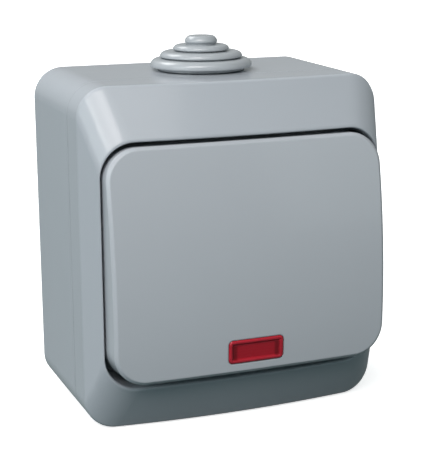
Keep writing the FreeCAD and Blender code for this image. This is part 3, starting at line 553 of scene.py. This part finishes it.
@dataclass
class CableGland:
    """The stepped rubber grommet on top, turned with the rolled rings that soft rubber has.

    Sizes are in metres. The depth is from the wall to the gland's upright axis, and the foot, the rings
    and the hollow have their heights from the seat on the box.
    """

    name: str = "cable gland"
    node: str = "cable_gland"
    body: str = "housing"
    depth: float = 0.0174
    seat: float = 0.0392
    lift: float = 0.0002
    foot_radius: float = 0.0102
    foot_height: float = 0.0007
    neck_radius: float = 0.0085
    wall: float = 0.0011
    flange_radius: float = 0.0098
    flange_height: float = 0.0015
    hollow_height: float = 0.0033
    roll_steps: int = 8
    around: int = 120
    crease_deg: float = 38.0
    tiers: tuple[Tier, ...] = (
        Tier(0.01198, 0.00135, 0.00165, 0.00148, 0.0, skirt=0.0003),
        Tier(0.00972, 0.00330, 0.00150, 0.00118, 0.00085),
        Tier(0.00662, 0.00496, 0.00132, 0.00102, 0.00085),
        Tier(0.00385, 0.00676, 0.00108, 0.00128, 0.00045, lip=0.00045, fullness=1.6),
    )

    def outline(self) -> list[tuple[float, float]]:
        """Trace the gland's half section.

        Returns:
            Radii and heights, from the flange inside the box up to the tip and down the hollow.
        """
        flange_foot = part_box(self.node)[0][2]
        wall_under = flange_foot + self.flange_height
        bore = self.neck_radius - self.wall
        foot = self.seat + self.lift
        points = [(bore, flange_foot), (self.flange_radius, flange_foot), (self.flange_radius, wall_under),
                  (self.neck_radius, wall_under), (self.neck_radius, foot), (self.foot_radius, foot),
                  (self.foot_radius, self.seat + self.foot_height)]
        for tier in self.tiers:
            if tier.undercut:
                points.append((tier.radius - tier.undercut, points[-1][1]))
            points += tier.outline(self.seat, self.roll_steps)
        ceiling = self.seat + self.hollow_height
        return points + [(0.0, points[-1][1]), (0.0, ceiling), (bore, ceiling)]

    def turn(self) -> bpy.types.Object:
        """Turn the half section about the gland's upright axis.

        Returns:
            The closed, smooth piece.
        """
        shape = bmesh.new()
        rings = []
        for radius, height in self.outline():
            count = self.around if radius else 1
            angles = [FULL_TURN * step / self.around for step in range(count)]
            rings.append([shape.verts.new((radius * math.cos(a), radius * math.sin(a) - self.depth, height))
                          for a in angles])
        for lower, upper in zip(rings, rings[1:] + rings[:1]):
            for step in range(self.around):
                follow = (step + 1) % self.around
                corners = [lower[step % len(lower)], lower[follow % len(lower)],
                           upper[follow % len(upper)], upper[step % len(upper)]]
                corners = list(dict.fromkeys(corners))
                if len(corners) > 2:
                    shape.faces.new(corners)
        return make_piece("gland_rings", shape, self.crease_deg)

    def dress(self, library: dict[Finish, bpy.types.Material]) -> None:
        """Put the turned gland in the plain solid's place.

        Args:
            library: The material of each finish.
        """
        piece = self.turn()
        piece.data.materials.append(library[Finish.GREY_RUBBER])
        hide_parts(self.node)
        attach(piece, self.body)
        LOG.info("%s: %s in %s", self.name, piece.name, Finish.GREY_RUBBER.value)


@dataclass
class RockerGroup(Assembly):
    """Rocker, lens and what moves with them."""

    name: str = "rocker"
    finishes: dict[str, Finish] = field(default_factory=lambda: {
        "rocker": Finish.ROCKER_LIT_GLOSS,
        "indicator_lens": Finish.RED_LENS,
        "rocker_yoke": Finish.DARK_INSULATOR,
        "plunger": Finish.DARK_INSULATOR,
    })


@dataclass
class PlungerSpring:
    """The plunger's spring, wound with closed ends.

    Places along the spring are measured from the rocker's hinge towards the wall, in metres.
    """

    name: str = "plunger spring"
    node: str = "plunger_spring"
    hinge_joint: str = "rocker_tilt"
    slide_joint: str = "plunger_slide"
    front: float = -0.0017
    back: float = 0.00575
    radius: float = 0.00205
    wire: float = 0.0005
    open_turns: int = 4
    end_turns: int = 1
    held_turns: float = 1.5
    closed_pitch: float = 0.00053
    steps: int = 20
    sides: int = 8
    crease_deg: float = 60.0

    @property
    def turns(self) -> int:
        """The number of turns from end to end."""
        return self.open_turns + 2 * self.end_turns

    def joint(self, name: str) -> dict:
        """Find a joint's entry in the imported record."""
        return next(joint for joint in frame["record"]["behaviour"]["joints"] if joint["name"] == name)

    def reach(self, turn: float) -> float:
        """Tell how far along the spring the wire is after a number of turns.

        Args:
            turn: Turns from the front end.

        Returns:
            The place along the spring.
        """
        open_pitch = (self.back - self.front - 2 * self.end_turns * self.closed_pitch) / self.open_turns
        opened = min(max(turn - self.end_turns, 0.0), self.open_turns)
        return self.front + opened * open_pitch + (turn - opened) * self.closed_pitch

    def wind(self, hinge: Vector, axis: Vector) -> bpy.types.Object:
        """Wind the wire into a closed mesh.

        Args:
            hinge: A point on the spring's axis.
            axis: The axis, towards the wall.

        Returns:
            The spring.
        """
        across = axis.orthogonal().normalized()
        beside = axis.cross(across)
        angles = [FULL_TURN * side / self.sides for side in range(self.sides)]
        shape = bmesh.new()
        rings = []
        for step in range(self.turns * self.steps + 1):
            turn = step / self.steps
            outward = across * math.cos(FULL_TURN * turn) + beside * math.sin(FULL_TURN * turn)
            centre = hinge + axis * self.reach(turn) + outward * self.radius
            spokes = [outward * math.cos(angle) + axis * math.sin(angle) for angle in angles]
            rings.append([shape.verts.new(centre + spoke * self.wire / 2) for spoke in spokes])
        for lower, upper in zip(rings, rings[1:]):
            for side in range(self.sides):
                follow = (side + 1) % self.sides
                shape.faces.new((lower[side], lower[follow], upper[follow], upper[side]))
        for end in (rings[0], rings[-1]):
            shape.faces.new(end)
        return make_piece("spring_coil", shape, self.crease_deg)

    def dress(self, library: dict[Finish, bpy.types.Material]) -> None:
        """Put the wound spring in the plain solid's place, along the plunger's slide from the rocker's
        hinge.

        Args:
            library: The material of each finish.
        """
        slide = self.joint(self.slide_joint)
        hinge = Vector(self.joint(self.hinge_joint)["pos_m"])
        axis = Vector(slide["axis"]).normalized()
        piece = self.wind(hinge, axis)
        piece.data.materials.append(library[Finish.SPRING_STEEL])
        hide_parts(self.node)
        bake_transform(piece)
        LOG.info("%s: %s in %s", self.name, piece.name, Finish.SPRING_STEEL.value)


@dataclass
class Mechanism(Assembly):
    """Support frame, contact housing, terminals, contacts and lamp."""

    name: str = "mechanism"
    finishes: dict[str, Finish] = field(default_factory=lambda: {
        "support_frame": Finish.WHITE_INSULATOR,
        "contact_housing": Finish.WHITE_INSULATOR,
        "common_terminal": Finish.BRASS,
        "upper_terminal": Finish.BRASS,
        "lower_terminal": Finish.BRASS,
        "terminal_screws": Finish.PLATED_STEEL,
        "fixed_contacts": Finish.CONTACT_SILVER,
        "contact_blade": Finish.BRASS,
        "blade_contacts": Finish.CONTACT_SILVER,
        "lamp_socket": Finish.WHITE_INSULATOR,
        "neon_lamp": Finish.LAMP_GLASS,
        "lamp_leads": Finish.PLATED_STEEL,
    })


@dataclass
class Lamp:
    """A soft area light that looks at the switch, with its place and size in metres."""

    name: str
    place: Place
    width: float
    height: float
    watts: float
    tint: Colour = WHITE
    aim: Place = (0.0, -0.025, 0.0)

    def build(self) -> None:
        """Hang the light."""
        data = bpy.data.lights.new(self.name, "AREA")
        data.shape = "RECTANGLE"
        data.size = self.width
        data.size_y = self.height
        data.energy = self.watts
        data.color = self.tint
        light = bpy.data.objects.new(self.name, data)
        light.location = self.place
        gaze = Vector(self.aim) - Vector(self.place)
        light.rotation_euler = gaze.to_track_quat("-Z", "Y").to_euler()
        bpy.context.collection.objects.link(light)


@dataclass
class PhotoCamera:
    """The camera at the photograph's viewing angle."""

    place: Place = (-0.10731, -0.30249, 0.07443)
    yaw_deg: float = 21.21
    pitch_deg: float = 13.83
    roll_deg: float = -0.272
    focal_px: float = 1285.1
    image_height_px: float = 465.0
    sensor_mm: float = 36.0
    nearest: float = 0.01

    def build(self) -> None:
        """Set up the camera and make it the scene's own."""
        yaw, pitch, roll = (math.radians(a) for a in (self.yaw_deg, self.pitch_deg, self.roll_deg))
        forward = Vector((math.sin(yaw) * math.cos(pitch), math.cos(yaw) * math.cos(pitch),
                          -math.sin(pitch)))
        level = Vector((math.cos(yaw), -math.sin(yaw), 0.0))
        upright = level.cross(forward)
        right = math.cos(roll) * level + math.sin(roll) * upright
        up = right.cross(forward)
        data = bpy.data.cameras.new("photo_camera")
        data.sensor_fit = "VERTICAL"
        data.sensor_height = self.sensor_mm
        data.lens = self.focal_px * self.sensor_mm / self.image_height_px
        data.clip_start = self.nearest
        camera = bpy.data.objects.new("photo_camera", data)
        turn = Matrix((right, up, -forward)).transposed()
        camera.matrix_world = Matrix.Translation(self.place) @ turn.to_4x4()
        bpy.context.collection.objects.link(camera)
        bpy.context.scene.camera = camera


@dataclass
class Studio:
    """Floor, lights and world.

    The floor's glow rises from the first strength to the second between the two distances of its reach,
    in metres. The mirrors are the shares of the white background that reflections see.
    """

    floor_size: float = 6.0
    floor_colour: Colour = (0.85, 0.85, 0.85)
    floor_bounce: Colour = (0.008, 0.050, 0.056)
    floor_mirror: float = 0.17
    glow_reach: tuple[float, float] = (0.1, 0.7)
    glow_strength: tuple[float, float] = (0.72, 1.0)
    world_tint: Colour = (0.75, 0.99, 1.0)
    world_strength: float = 0.13
    world_mirror: float = 0.26
    lamps: tuple[Lamp, ...] = (
        Lamp("key_light", (-0.55, -0.75, 0.95), 0.7, 0.7, 10.2, (1.0, 0.96, 0.95)),
        Lamp("side_light", (-0.95, -0.45, 0.35), 0.8, 0.8, 5.3, (0.90, 0.985, 1.0)),
        Lamp("front_light", (-0.1, -0.85, 0.95), 0.8, 0.6, 2.9, (1.0, 0.96, 0.95)),
        Lamp("fill_light", (0.75, -0.8, 0.35), 0.8, 0.8, 1.1, (0.85, 1.0, 1.0)),
        Lamp("back_light", (-0.55, 0.7, 1.0), 0.8, 0.5, 8.0),
    )

    def build(self) -> None:
        """Lay the floor, light the world and hang the lamps."""
        self.lay_floor()
        self.light_world()
        for lamp in self.lamps:
            lamp.build()

    def shown_share(self, tree: bpy.types.NodeTree, mirror: float) -> bpy.types.NodeSocket:
        """Tell how much of the white background a ray sees.

        Args:
            tree: The tree of the floor's material or of the world.
            mirror: The share that reflections see; the camera and clear pieces see all of it.

        Returns:
            The socket that gives the share.
        """
        path = add_node(tree, "ShaderNodeLightPath").outputs
        mirrored = add_math(tree, "MULTIPLY", path["Is Glossy Ray"], mirror)
        clear = add_math(tree, "MAXIMUM", mirrored, path["Is Transmission Ray"])
        return add_math(tree, "MAXIMUM", path["Is Camera Ray"], clear)

    def floor_material(self) -> bpy.types.Material:
        """Make the pale floor's material, which shows white to the camera and keeps the shadow.

        Returns:
            The material.
        """
        material = bpy.data.materials.new("pale_floor")
        material.use_nodes = True
        tree = material.node_tree
        tree.nodes.clear()
        place = add_node(tree, "ShaderNodeTexCoord").outputs["Object"]
        reach = add_node(tree, "ShaderNodeVectorMath", place, operation="LENGTH")
        rise = add_node(tree, "ShaderNodeMapRange", reach.outputs["Value"],
                        *self.glow_reach, *self.glow_strength)
        glow = add_node(tree, "ShaderNodeEmission", Strength=rise.outputs["Result"])
        seen = add_node(tree, "ShaderNodeBsdfDiffuse", Color=self.floor_colour)
        shown = add_node(tree, "ShaderNodeAddShader", seen.outputs[0], glow.outputs[0])
        unseen = add_node(tree, "ShaderNodeBsdfDiffuse", Color=self.floor_bounce)
        choose = add_node(tree, "ShaderNodeMixShader", self.shown_share(tree, self.floor_mirror),
                          unseen.outputs[0], shown.outputs[0])
        add_node(tree, "ShaderNodeOutputMaterial", Surface=choose.outputs[0])
        return material

    def lay_floor(self) -> None:
        """Lay the floor under the switch."""
        half = self.floor_size / 2
        level = CAD_BOX[0][2]
        corners = [(-half, -half, level), (half, -half, level), (half, half, level), (-half, half, level)]
        mesh = bpy.data.meshes.new("floor")
        mesh.from_pydata(corners, [], [(0, 1, 2, 3)])
        mesh.materials.append(self.floor_material())
        floor = bpy.data.objects.new("floor", mesh)
        bpy.context.collection.objects.link(floor)

    def light_world(self) -> None:
        """Give a soft surround that is white to the camera and pale in reflections."""
        world = bpy.data.worlds.new("studio")
        bpy.context.scene.world = world
        world.use_nodes = True
        tree = world.node_tree
        surround = tree.nodes["Background"]
        feed(tree, surround.inputs["Color"], self.world_tint)
        feed(tree, surround.inputs["Strength"], self.world_strength)
        white = add_node(tree, "ShaderNodeBackground", Color=WHITE, Strength=1.0)
        choose = add_node(tree, "ShaderNodeMixShader", self.shown_share(tree, self.world_mirror),
                          surround.outputs[0], white.outputs[0])
        feed(tree, tree.nodes["World Output"].inputs["Surface"], choose.outputs[0])


def main() -> None:
    """Build the finishes, dress the switch and set up the studio."""
    logging.basicConfig(level=logging.INFO)
    build_mould_grain()
    build_brushed_grain()
    library = {finish.name: finish.build() for finish in FINISHES}
    for assembly in (Housing(), CableGland(), RockerGroup(), PlungerSpring(), Mechanism()):
        assembly.dress(library)
    Studio().build()
    PhotoCamera().build()
    bpy.context.scene.view_settings.view_transform = "Standard"


if __name__ == "__main__":
    main()
